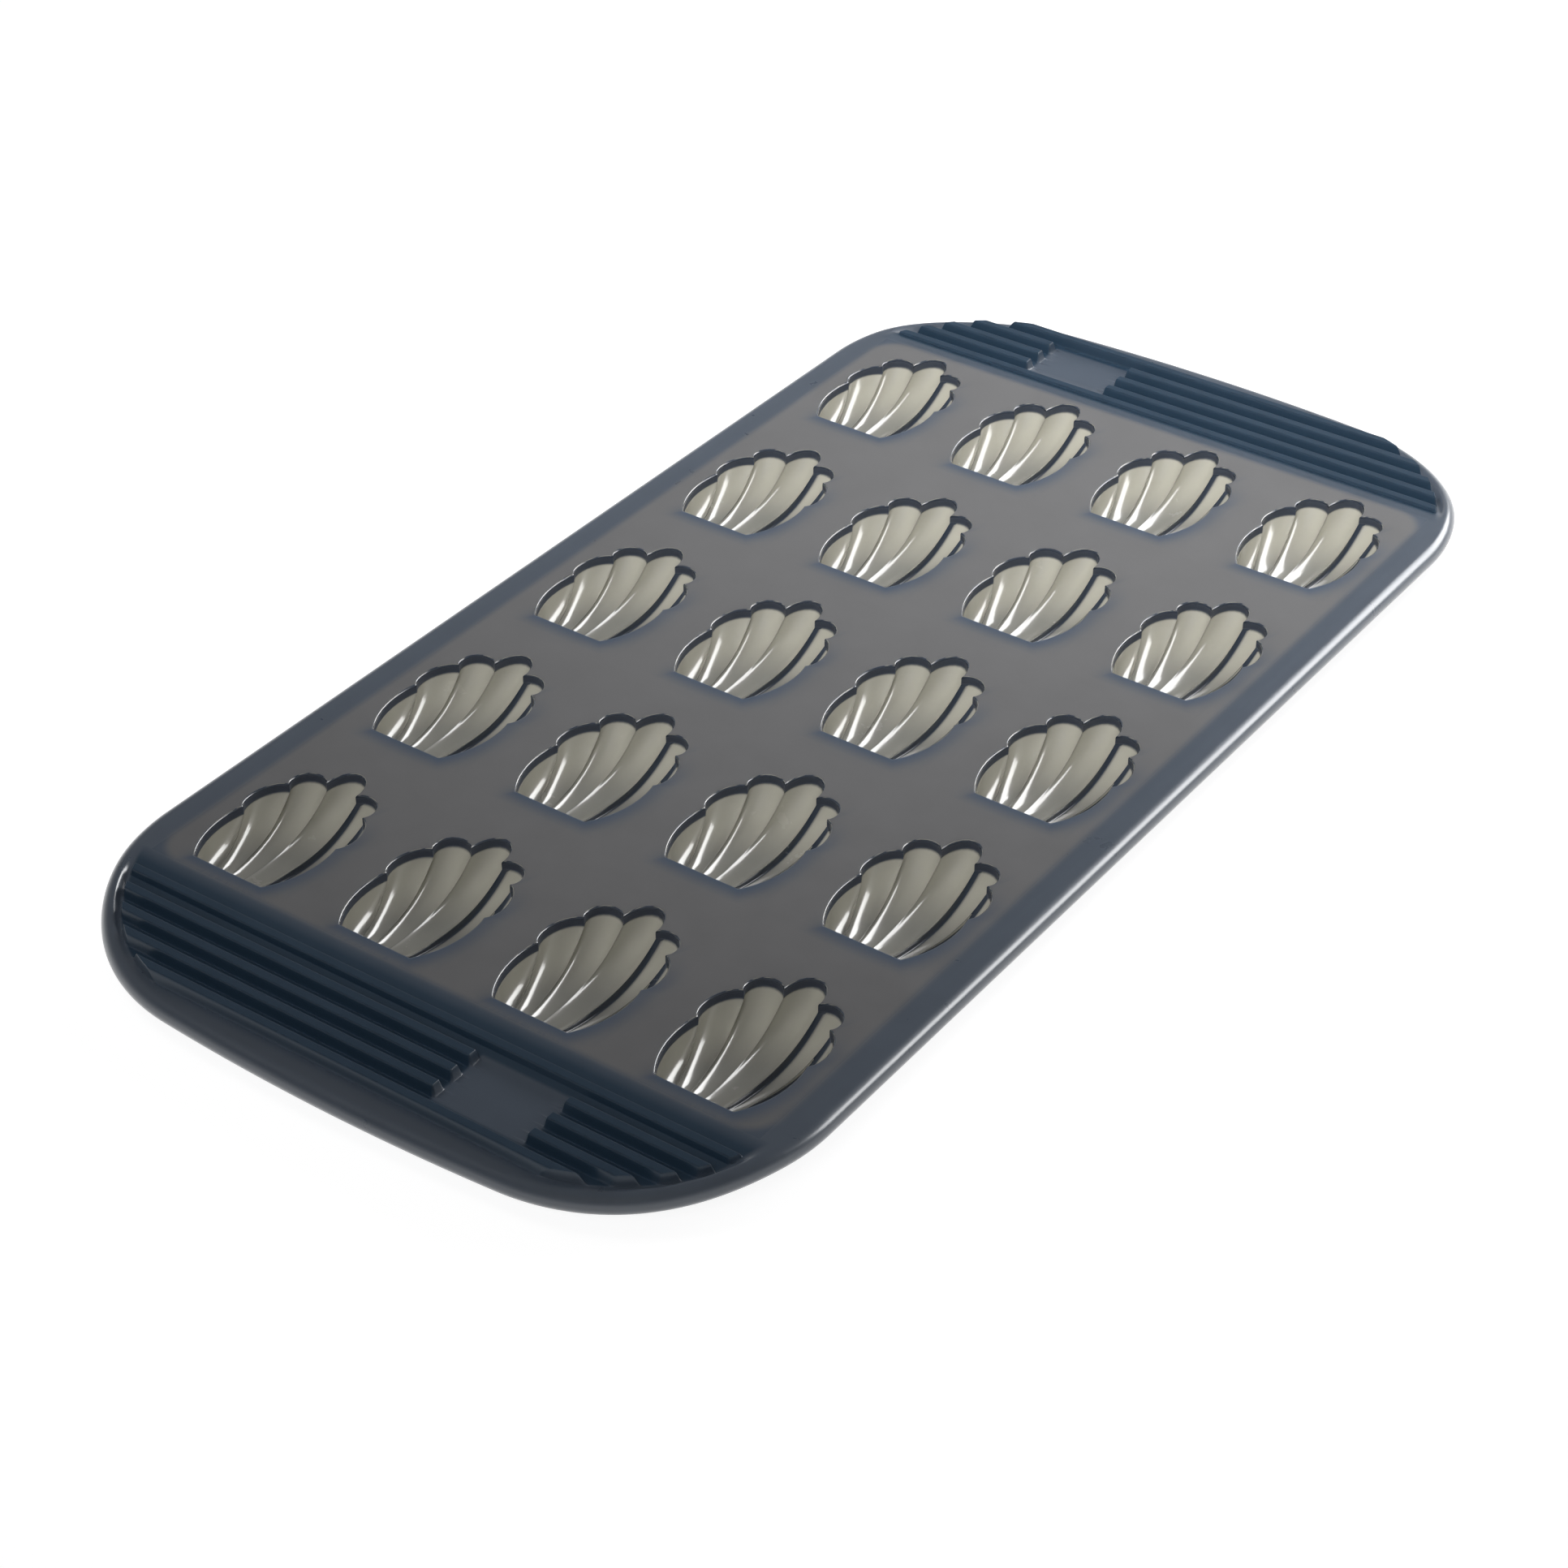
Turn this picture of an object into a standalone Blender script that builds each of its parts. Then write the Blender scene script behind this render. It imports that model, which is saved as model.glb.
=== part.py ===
# Silicone tray mould for twenty small shell-shaped cakes, four across and five along.
# A thin web has twenty scalloped mouths. A fluted cup hangs under each mouth, a round-edged
# rail runs down each long side, and a thick ribbed grip closes each end.
# Metres, +Z up. The cups stand on z = 0, +Y runs along the tray from near grip to far grip.

import math

import bmesh
import bpy

MM = 0.001

# The cake grid
COLUMNS = 4
ROWS = 5
COLUMN_PITCH = 44.0 * MM
ROW_PITCH = 62.0 * MM

# The web, the flat sheet between the cups
WEB_THICKNESS = 2.0 * MM
SIDE_MARGIN = 4.2 * MM       # from the widest point of an outer mouth to the web's edge
HINGE_MARGIN = 4.0 * MM      # from the first row's straight edge to the web's near edge
TIP_MARGIN = 2.0 * MM        # from the last row's tips to the web's far edge
GAP = 0.3 * MM               # clearance between neighbouring solids

# One mouth seen from above: a straight hinge edge at y = 0 and seven lobes fanning out to +y.
# Only the right half is given, from the middle lobe to the side lobe.
HINGE_HALF_WIDTH = 10.2 * MM
MIDDLE_NOTCH = (4.5 * MM, 38.6 * MM)
SHOULDER_NOTCH = (11.3 * MM, 33.2 * MM)
SIDE_NOTCH = (14.2 * MM, 20.5 * MM)
RIDGES_AT_HINGE = (2.4 * MM, 4.6 * MM, 6.9 * MM)
MIDDLE_LOBE_BULGE = 7.0 * MM
SHOULDER_LOBE_BULGE = 4.1 * MM
UPPER_SIDE_LOBE_BULGE = 2.8 * MM
LOWER_SIDE_LOBE_BULGE = 2.3 * MM
LOBE_ROUNDNESS = (1.0, 1.0, 0.6, 0.3)   # 1 is half an ellipse, 0 a flat sine wave
LOBE_STEPS = (4, 3, 3, 3)               # facets across each lobe, middle lobe first

# One cup, measured below the web
RIDGE_DEPTH = 6.9 * MM       # deepest point of the ridges between the flutes
FLUTE_DEPTH = 1.3 * MM       # how much deeper a flute's floor lies than its ridges
FLUTE_DEPTH_AT_HINGE = 0.4   # the same beside the hinge edge, as a share of it
CUP_WALL = 1.3 * MM
FLOOR_WALL = 1.8 * MM        # thicker than the sides, and cut flat where the cup stands
CUP_HEIGHT = 9.2 * MM        # from the cup's top face to the flat it stands on
DEEPEST_PLACE = 0.45         # along a flute, from the hinge edge at 0 to the rim at 1
HINGE_FULLNESS = 2.5         # 2 is an elliptical section, more gives a steeper wall
TIP_FULLNESS = 2.5           # 2 is a parabola, more keeps the floor level for longer
SIDE_FULLNESS = 1.6          # 2 is an elliptical section across the cup, less is narrower
PROFILE_PLACES = (0, 0.06, 0.35, 0.6, 0.85, 1)   # where a flute's long section is sampled

# The edge all round and the two grips
EDGE_THICKNESS = 5.4 * MM
RAIL_WIDTH = 8.8 * MM
CORNER_RADIUS = 52.0 * MM
END_BOW_RADIUS = 600.0 * MM
GRIP_DROP = 2.7 * MM         # how far the grips' surface lies below the web's
RAMP_START = 1.0 * MM        # the fall to the grip begins this far past the web
RAMP_LENGTH = 13.0 * MM
EDGE_STEPS = 6
CORNER_STEPS = 11
BOW_STEPS = 2
STATION_GAP = 1.0 * MM       # least distance from the ramp's end to the next section of the grip

# Raised ribs across each grip, the middle ones broken by a bare flat plate
RIB_COUNT = 5
RIB_PITCH = 6.0 * MM
RIB_FOOT_WIDTH = 4.0 * MM
RIB_TOP_WIDTH = 2.5 * MM
RIB_HEIGHT = 2.7 * MM
RIB_SINK = 0.8 * MM          # how deep a rib's foot reaches into the grip it is joined to
FIRST_RIB = 7.0 * MM         # from the web's edge to the middle of the first rib
LAST_RIB_TO_END = 9.4 * MM
RIB_END_INSET = 4.2 * MM     # rib ends stop this far inside the outline
PLATE_START = 21.0 * MM      # from the middle of the tray
PLATE_WIDTH = 24.0 * MM

# Sizes that follow from the ones above
CUP_TOP = CUP_HEIGHT
WEB_BOTTOM = CUP_TOP + GAP
WEB_TOP = WEB_BOTTOM + WEB_THICKNESS
MOUTH_LENGTH = MIDDLE_NOTCH[1] + MIDDLE_LOBE_BULGE
MOUTH_HALF_WIDTH = (SHOULDER_NOTCH[0] + SIDE_NOTCH[0]) / 2 + UPPER_SIDE_LOBE_BULGE
WEB_HALF_WIDTH = (COLUMNS - 1) / 2 * COLUMN_PITCH + MOUTH_HALF_WIDTH + SIDE_MARGIN
WEB_HALF_LENGTH = ((ROWS - 1) * ROW_PITCH + MOUTH_LENGTH + HINGE_MARGIN + TIP_MARGIN) / 2
TRAY_HALF_WIDTH = WEB_HALF_WIDTH + RAIL_WIDTH
GRIP_LENGTH = FIRST_RIB + (RIB_COUNT - 1) * RIB_PITCH + LAST_RIB_TO_END
TRAY_HALF_LENGTH = WEB_HALF_LENGTH + GRIP_LENGTH
FIRST_HINGE = -WEB_HALF_LENGTH + HINGE_MARGIN
CORNER_X = TRAY_HALF_WIDTH - CORNER_RADIUS
BOW_SIDE = math.sqrt((END_BOW_RADIUS - CORNER_RADIUS) ** 2 - CORNER_X**2)
CORNER_Y = TRAY_HALF_LENGTH - END_BOW_RADIUS + BOW_SIDE
EDGE_RADIUS = EDGE_THICKNESS / 2

WEB_COLOUR = (0.13, 0.13, 0.135)
CUP_COLOUR = (0.30, 0.30, 0.26)
RAIL_COLOUR = (0.055, 0.078, 0.11)
GRIP_COLOUR = (0.024, 0.036, 0.058)


def clear_scene():
    for old in list(bpy.data.objects):
        bpy.data.objects.remove(old, do_unlink=True)


def make_collection(name):
    collection = bpy.data.collections.new(name)
    bpy.context.scene.collection.children.link(collection)
    return collection


def silicone(name, colour, roughness):
    material = bpy.data.materials.new(name)
    material.use_nodes = True
    shader = material.node_tree.nodes["Principled BSDF"]
    shader.inputs["Base Color"].default_value = (*colour, 1.0)
    shader.inputs["Roughness"].default_value = roughness
    shader.inputs["Metallic"].default_value = 0.0
    return material


def add_object(name, mesh, collection, material, place=(0.0, 0.0, 0.0)):
    piece = bpy.data.objects.new(name, mesh)
    piece.location = place
    collection.objects.link(piece)
    if not mesh.materials:
        mesh.materials.append(material)
    return piece


def mesh_from_bmesh(name, shape, sharp_angle=40.0):
    bmesh.ops.recalc_face_normals(shape, faces=shape.faces[:])
    mesh = bpy.data.meshes.new(name)
    shape.to_mesh(mesh)
    shape.free()
    mesh.shade_smooth()
    mesh.set_sharp_from_angle(angle=math.radians(sharp_angle))
    return mesh


# The mouth and its flutes


def mouth_edges(wall):
    """Ends of the lines between flutes, right half: one at the hinge and one at the rim for each."""
    grown = (HINGE_HALF_WIDTH + wall) / HINGE_HALF_WIDTH
    hinge = [(x * grown, -wall) for x in RIDGES_AT_HINGE]
    hinge.append((HINGE_HALF_WIDTH + wall, -wall))
    rim = []
    for x, y in (MIDDLE_NOTCH, SHOULDER_NOTCH, SIDE_NOTCH):
        reach = math.hypot(x, y - SIDE_NOTCH[1] / 2)
        rim.append((x + wall * x / reach, y + wall * (y - SIDE_NOTCH[1] / 2) / reach))
    rim.append((HINGE_HALF_WIDTH + wall, -wall))
    return hinge, rim


def lobes(wall):
    """The seven flutes from left to right, each with its two hinge ends, two rim ends and bulge."""
    hinge, rim = mouth_edges(wall)
    bulges = (MIDDLE_LOBE_BULGE, SHOULDER_LOBE_BULGE, UPPER_SIDE_LOBE_BULGE, LOWER_SIDE_LOBE_BULGE)
    right = []
    for k in range(1, 4):
        right.append((hinge[k - 1], hinge[k], rim[k - 1], rim[k], bulges[k], k))
    left = []
    for h0, h1, r0, r1, bulge, k in reversed(right):
        left.append(((-h1[0], h1[1]), (-h0[0], h0[1]), (-r1[0], r1[1]), (-r0[0], r0[1]), bulge, k))
    (hx, hy), (rx, ry) = hinge[0], rim[0]
    middle = ((-hx, hy), (hx, hy), (-rx, ry), (rx, ry), bulges[0], 0)
    return left + [middle] + right


def rim_point(lobe, u):
    """A point on one lobe's outline: along its chord, and out from it as half an ellipse."""
    (x0, y0), (x1, y1), bulge, kind = lobe[2], lobe[3], lobe[4], lobe[5]
    round_share = LOBE_ROUNDNESS[kind]
    along = (1 - round_share) * u + round_share * (1 - math.cos(math.pi * u)) / 2
    chord = math.hypot(x1 - x0, y1 - y0)
    out_x, out_y = -(y1 - y0) / chord, (x1 - x0) / chord
    rise = bulge * math.sin(math.pi * u)
    return x0 + (x1 - x0) * along + out_x * rise, y0 + (y1 - y0) * along + out_y * rise


def flute_columns(wall):
    """One column per facet edge: its hinge point, rim point, place across the cup and in its flute."""
    columns = []
    for number, lobe in enumerate(lobes(wall)):
        steps = LOBE_STEPS[lobe[5]]
        for i in range(steps + (number == 6)):
            u = i / steps
            (ax, ay), (bx, by) = lobe[0], lobe[1]
            hinge = (ax + (bx - ax) * u, ay + (by - ay) * u)
            columns.append((hinge, rim_point(lobe, u), (number + u - 3.5) / 3.5, u))
    return columns


def long_section(t):
    """Share of the full depth along a flute: a steep arch at the hinge, a gentle rise to the tip."""
    if t < DEEPEST_PLACE:
        return max(0.0, 1 - (1 - t / DEEPEST_PLACE) ** HINGE_FULLNESS) ** (1 / HINGE_FULLNESS)
    return 1 - ((t - DEEPEST_PLACE) / (1 - DEEPEST_PLACE)) ** TIP_FULLNESS


def cross_section(s):
    """Share of the full depth across the cup, 1 in the middle (s = 0) and 0 at its sides."""
    return math.sqrt(max(0.0, 1 - abs(s) ** SIDE_FULLNESS))


def cup_grid(wall, floor_wall):
    """Rows of points of the cup's skin: a section along each flute, one across it and one across all."""
    rows = []
    for t in PROFILE_PLACES:
        grown = min(1.0, t / DEEPEST_PLACE)
        flute_depth = FLUTE_DEPTH * (FLUTE_DEPTH_AT_HINGE + (1 - FLUTE_DEPTH_AT_HINGE) * grown)
        row = []
        for (hx, hy), (rx, ry), s, u in flute_columns(wall):
            scoop = flute_depth * 4 * u * (1 - u)
            depth = ((RIDGE_DEPTH + floor_wall) * cross_section(s) + scoop) * long_section(t)
            z = max(0.0, CUP_TOP - depth)
            row.append((hx + (rx - hx) * t, hy + (ry - hy) * t, z))
        rows.append(row)
    return rows


def cup_mesh():
    """Inner and outer skin of one cup, joined by a flat ring at the top."""
    shape = bmesh.new()
    skins = []
    for wall, floor_wall in ((0.0, 0.0), (CUP_WALL, FLOOR_WALL)):
        skins.append([[shape.verts.new(p) for p in row] for row in cup_grid(wall, floor_wall)])
    inner, outer = skins
    last = len(PROFILE_PLACES) - 1
    for skin in skins:
        for r0, r1 in zip(skin[:-1], skin[1:]):
            for i in range(len(r0) - 1):
                shape.faces.new((r0[i], r0[i + 1], r1[i + 1], r1[i]))
    for row in (0, last):
        a, b = inner[row], outer[row]
        for i in range(len(a) - 1):
            shape.faces.new((a[i], a[i + 1], b[i + 1], b[i]))
    bmesh.ops.remove_doubles(shape, verts=shape.verts[:], dist=0.01 * MM)
    return mesh_from_bmesh("cup", shape)


def mouth_outline():
    """The mouth's outline in the web, anticlockwise from the left end of the hinge edge."""
    points = [rim for _, rim, _, _ in flute_columns(0.0)]
    return list(reversed(points))


def cavity_places():
    """Name and middle of the hinge edge of each cup, row 1 at the near grip."""
    for row in range(ROWS):
        for column in range(COLUMNS):
            x = (column - (COLUMNS - 1) / 2) * COLUMN_PITCH
            yield row + 1, column + 1, x, FIRST_HINGE + row * ROW_PITCH


# The web


def row_borders():
    """Cut lines between the web's strips, half way between a row's tips and the next hinge edge."""
    borders = [-WEB_HALF_LENGTH]
    for row in range(1, ROWS):
        borders.append(FIRST_HINGE + row * ROW_PITCH - (ROW_PITCH - MOUTH_LENGTH) / 2)
    borders.append(WEB_HALF_LENGTH)
    return borders


def flat_sheet(name, outlines, bottom, thickness, collection):
    """A flat closed sheet from 2D outlines, inner ones being holes, as a welded mesh."""
    curve = bpy.data.curves.new(name + "_outline", "CURVE")
    curve.dimensions = "2D"
    curve.fill_mode = "BOTH"
    curve.extrude = thickness / 2
    for points in outlines:
        spline = curve.splines.new("POLY")
        spline.points.add(len(points) - 1)
        for target, (x, y) in zip(spline.points, points):
            target.co = (x, y, 0.0, 1.0)
        spline.use_cyclic_u = True
    drawn = bpy.data.objects.new(name + "_curve", curve)
    drawn.location = (0.0, 0.0, bottom + thickness / 2)
    collection.objects.link(drawn)
    bpy.context.view_layer.update()
    evaluated = drawn.evaluated_get(bpy.context.evaluated_depsgraph_get())
    mesh = bpy.data.meshes.new_from_object(evaluated)
    mesh.transform(drawn.matrix_world)
    bpy.data.objects.remove(drawn, do_unlink=True)
    mesh.name = name
    shape = bmesh.new()
    shape.from_mesh(mesh)
    bmesh.ops.remove_doubles(shape, verts=shape.verts[:], dist=0.01 * MM)
    bmesh.ops.recalc_face_normals(shape, faces=shape.faces[:])
    shape.to_mesh(mesh)
    shape.free()
    return mesh


def add_web(collection, material):
    borders = row_borders()
    mouth = mouth_outline()
    for row in range(ROWS):
        low = borders[row] + (GAP / 2 if row else 0.0)
        high = borders[row + 1] - (GAP / 2 if row < ROWS - 1 else 0.0)
        w = WEB_HALF_WIDTH
        outlines = [[(-w, low), (w, low), (w, high), (-w, high)]]
        for number, _, x, y in cavity_places():
            if number == row + 1:
                outlines.append([(px + x, py + y) for px, py in mouth])
        name = f"web_row_{row + 1}"
        mesh = flat_sheet(name, outlines, WEB_BOTTOM, WEB_THICKNESS, collection)
        add_object(name, mesh, collection, material)


# The outline and the rounded edge


def outline_half():
    """Right half of the outline from the middle of the long side to the middle of the far end.

    Straight side, corner arc, then the shallow bow of the end. Each point has its outward normal.
    """
    points = [((TRAY_HALF_WIDTH, 0.0), (1.0, 0.0))]
    bow_half_angle = math.atan2(CORNER_X, BOW_SIDE)
    corner_end = math.pi / 2 - bow_half_angle
    for i in range(CORNER_STEPS + 1):
        a = corner_end * i / CORNER_STEPS
        nx, ny = math.cos(a), math.sin(a)
        points.append(((CORNER_X + CORNER_RADIUS * nx, CORNER_Y + CORNER_RADIUS * ny), (nx, ny)))
    for i in range(1, BOW_STEPS + 1):
        a = corner_end + bow_half_angle * i / BOW_STEPS
        nx, ny = math.cos(a), math.sin(a)
        y = TRAY_HALF_LENGTH - END_BOW_RADIUS + END_BOW_RADIUS * ny
        points.append(((END_BOW_RADIUS * nx, y), (nx, ny)))
    return points


def outline_at(y):
    """The outline's half width at a place along the corner arc or the straight side."""
    past = max(0.0, y - CORNER_Y)
    return CORNER_X + math.sqrt(CORNER_RADIUS**2 - past * past)


def edge_section():
    """Inset and height of the round edge, from its lowest line over the side to its highest."""
    section = []
    for i in range(EDGE_STEPS + 1):
        a = -math.pi / 2 + math.pi * i / EDGE_STEPS
        section.append((EDGE_RADIUS * (1 - math.cos(a)), EDGE_RADIUS * math.sin(a)))
    return section


def fall(y):
    """How far the surface lies below the web's, a smooth step down to the grip."""
    past = (y - WEB_HALF_LENGTH - RAMP_START) / RAMP_LENGTH
    past = min(1.0, max(0.0, past))
    return GRIP_DROP * past * past * (3 - 2 * past)


def rail_mesh():
    """The right-hand rail: its section swept along the side and the start of both corners."""
    edge_middle = WEB_TOP - EDGE_RADIUS
    inner = WEB_HALF_WIDTH + GAP
    top_y = WEB_HALF_LENGTH
    places = [top_y * i / 4 for i in range(4)]
    places = [y for y in places if y < CORNER_Y] + [CORNER_Y, (CORNER_Y + top_y) / 2, top_y]
    places = sorted(set(places + [-y for y in places]))
    shape = bmesh.new()
    loops = []
    for y in places:
        half = outline_at(abs(y))
        loop = [shape.verts.new((inner, y, WEB_TOP - EDGE_THICKNESS))]
        loop += [shape.verts.new((half - inset, y, edge_middle + z)) for inset, z in edge_section()]
        loop.append(shape.verts.new((inner, y, WEB_TOP)))
        loops.append(loop)
    for a, b in zip(loops[:-1], loops[1:]):
        for i in range(len(a)):
            j = (i + 1) % len(a)
            shape.faces.new((a[i], a[j], b[j], b[i]))
    shape.faces.new(loops[0])
    shape.faces.new(loops[-1])
    return mesh_from_bmesh("rail", shape)


def grip_stations():
    """Outline points of the far grip, right half, from the web's edge to the middle of the end."""
    start = WEB_HALF_LENGTH + GAP
    ramp = [start]
    for i in range(4):
        ramp.append(WEB_HALF_LENGTH + RAMP_START + RAMP_LENGTH * i / 3)
    stations = []
    for y in ramp:
        rise = (y - CORNER_Y) / CORNER_RADIUS
        stations.append(((outline_at(y), y), (math.sqrt(1 - rise * rise), rise)))
    stations[0] = (stations[0][0], (1.0, 0.0))
    for point, normal in outline_half():
        if point[1] > ramp[-1] + STATION_GAP:
            stations.append((point, normal))
    return stations


def grip_mesh():
    """The far grip: closed sections of a round-edged plate, from the web's edge to the end."""
    edge_middle = WEB_TOP - EDGE_RADIUS
    shape = bmesh.new()
    loops = []
    for (x, y), (nx, ny) in grip_stations():
        right = []
        left = []
        for inset, z in edge_section():
            px, py = x - nx * inset, y - ny * inset
            height = edge_middle + z - fall(py)
            right.append(shape.verts.new((px, py, height)))
            left.append(right[-1] if px < 0.01 * MM else shape.verts.new((-px, py, height)))
        loops.append(right + list(reversed(left)))
    count = len(loops[0])
    for a, b in zip(loops[:-1], loops[1:]):
        for i in range(count):
            j = (i + 1) % count
            corners = []
            for vert in (a[i], a[j], b[j], b[i]):
                if vert not in corners:
                    corners.append(vert)
            if len(corners) > 2:
                shape.faces.new(corners)
    shape.faces.new(loops[0])
    return mesh_from_bmesh("grip", shape)


# Ribs


def rib_end(y):
    """Where a rib ends: on the outline drawn in by the rib inset."""
    radius = CORNER_RADIUS - RIB_END_INSET
    past = min(radius, max(0.0, y - CORNER_Y))
    return CORNER_X + math.sqrt(radius * radius - past * past)


def rib_spans(number):
    """Left and right ends of each rib as functions of y; ribs 2 to 4 leave the plate bare."""
    plate_low = -PLATE_START - PLATE_WIDTH
    plate_high = -PLATE_START
    if number in (0, RIB_COUNT - 1):
        return [(lambda y: -rib_end(y), rib_end)]
    return [(lambda y: -rib_end(y), lambda y: plate_low), (lambda y: plate_high, rib_end)]


def add_rib(shape, middle, low_end, high_end):
    """One bar with sloping flanks, its foot sunk into the grip and its ends cut to the outline."""
    base = WEB_TOP - GRIP_DROP
    levels = ((base - RIB_SINK, RIB_FOOT_WIDTH), (base, RIB_FOOT_WIDTH), (base + RIB_HEIGHT, RIB_TOP_WIDTH))
    loops = []
    for z, width in levels:
        low, high = middle - width / 2, middle + width / 2
        corners = ((low_end(low), low), (high_end(low), low), (high_end(high), high), (low_end(high), high))
        loops.append([shape.verts.new((x, y, z)) for x, y in corners])
    for a, b in zip(loops[:-1], loops[1:]):
        for i in range(4):
            j = (i + 1) % 4
            shape.faces.new((a[i], a[j], b[j], b[i]))
    shape.faces.new(loops[0])
    shape.faces.new(loops[-1])


def ribs_mesh():
    shape = bmesh.new()
    for number in range(RIB_COUNT):
        middle = WEB_HALF_LENGTH + FIRST_RIB + number * RIB_PITCH
        for low_end, high_end in rib_spans(number):
            add_rib(shape, middle, low_end, high_end)
    return mesh_from_bmesh("ribs", shape)


def add_grips(collection, cutters, material):
    """Far grip as modelled, near grip the same turned half a turn, ribs joined to each."""
    plate, ribs = grip_mesh(), ribs_mesh()
    for name, turn in (("grip_near", math.pi), ("grip_far", 0.0)):
        grip = add_object(name, plate, collection, material)
        grip.rotation_euler = (0.0, 0.0, turn)
        tool = add_object(name + "_ribs", ribs, cutters, material)
        tool.rotation_euler = (0.0, 0.0, turn)
        tool.hide_render = True
        tool.display_type = "WIRE"
        joined = grip.modifiers.new("Ribs", "BOOLEAN")
        joined.operation = "UNION"
        joined.solver = "EXACT"
        joined.object = tool


def add_rails(collection, material):
    mesh = rail_mesh()
    for name, turn in (("rail_right", 0.0), ("rail_left", math.pi)):
        rail = add_object(name, mesh, collection, material)
        rail.rotation_euler = (0.0, 0.0, turn)


def add_cups(collection, material):
    mesh = cup_mesh()
    for row, column, x, y in cavity_places():
        add_object(f"cup_r{row}_c{column}", mesh, collection, material, (x, y, 0.0))


def main():
    clear_scene()
    mould = make_collection("shell_cake_mould")
    cutters = make_collection("shell_cake_mould_tools")
    add_web(mould, silicone("web_silicone", WEB_COLOUR, 0.45))
    add_cups(mould, silicone("cup_silicone", CUP_COLOUR, 0.2))
    add_rails(mould, silicone("rail_silicone", RAIL_COLOUR, 0.35))
    add_grips(mould, cutters, silicone("grip_silicone", GRIP_COLOUR, 0.4))


main()
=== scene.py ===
import math

import bmesh
import bpy
import numpy as np
from mathutils import Matrix, Vector


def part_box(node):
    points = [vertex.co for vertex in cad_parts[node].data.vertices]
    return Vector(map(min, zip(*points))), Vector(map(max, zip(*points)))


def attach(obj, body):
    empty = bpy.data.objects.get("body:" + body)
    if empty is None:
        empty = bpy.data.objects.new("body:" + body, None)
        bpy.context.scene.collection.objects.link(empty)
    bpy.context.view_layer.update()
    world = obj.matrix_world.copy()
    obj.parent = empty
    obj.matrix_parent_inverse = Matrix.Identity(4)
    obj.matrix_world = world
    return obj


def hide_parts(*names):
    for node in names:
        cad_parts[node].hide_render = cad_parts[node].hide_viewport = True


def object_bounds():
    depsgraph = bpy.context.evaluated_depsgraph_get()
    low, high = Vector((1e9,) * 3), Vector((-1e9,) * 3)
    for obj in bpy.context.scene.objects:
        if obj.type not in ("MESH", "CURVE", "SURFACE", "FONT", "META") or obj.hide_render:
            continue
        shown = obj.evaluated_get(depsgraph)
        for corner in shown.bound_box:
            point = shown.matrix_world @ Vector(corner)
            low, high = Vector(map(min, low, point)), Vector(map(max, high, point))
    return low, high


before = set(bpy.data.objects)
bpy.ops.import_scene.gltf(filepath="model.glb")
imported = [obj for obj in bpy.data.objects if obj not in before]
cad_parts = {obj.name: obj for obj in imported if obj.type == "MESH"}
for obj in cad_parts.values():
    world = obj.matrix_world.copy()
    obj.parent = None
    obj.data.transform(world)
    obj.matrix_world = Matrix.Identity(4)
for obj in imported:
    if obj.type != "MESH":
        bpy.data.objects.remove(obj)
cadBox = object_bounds()
mm = 0.001
print("frame loaded,", len(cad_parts), "nodes")

rowCount = 5
columnCount = 4
webBoxes = [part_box(f"web_row_{row + 1}") for row in range(rowCount)]
webTop = webBoxes[0][1].z
webBottom = webBoxes[0][0].z
webHalfWidth = webBoxes[0][1].x
webHalfLength = webBoxes[-1][1].y
trayHalfWidth = cadBox[1].x
trayHalfLength = cadBox[1].y
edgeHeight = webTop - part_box("rail_right")[0].z


# Mesh helpers

meshing = {
    "joinDistance": 0.004 * mm,  # points of neighbouring skins this close become one
    "leastEdge": 0.002 * mm,
    "sameLine": 0.001 * mm,      # how far a point may lie off the line that it counts to
    "decimals": 7,               # of a metre, where places are compared
}


def gridQuads(rowTotal, columnTotal, ring):
    # corner numbers of the quads of a grid stored row by row; ring joins its last column to the first
    start = np.arange(rowTotal - 1)[:, None] * columnTotal
    here = np.arange(columnTotal if ring else columnTotal - 1)[None, :]
    beside = (here + 1) % columnTotal
    quads = (start + here, start + beside, start + columnTotal + beside, start + columnTotal + here)
    return np.stack(quads, -1).reshape(-1, 4)


def grid(x, y, z):
    # one array of points from three that may differ in shape
    return np.stack(np.broadcast_arrays(x, y, z), -1).astype(float)


def atHeight(places, z):
    # places in plan, in one loop or in rows of loops, as points at the height z
    return grid(places[..., 0], places[..., 1], z)


def smoothStep(t):
    # 0 up to t = 0, 1 from t = 1, and 3 t squared minus 2 t cubed between
    t = np.clip(t, 0, 1)
    return t * t * (3 - 2 * t)


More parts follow.
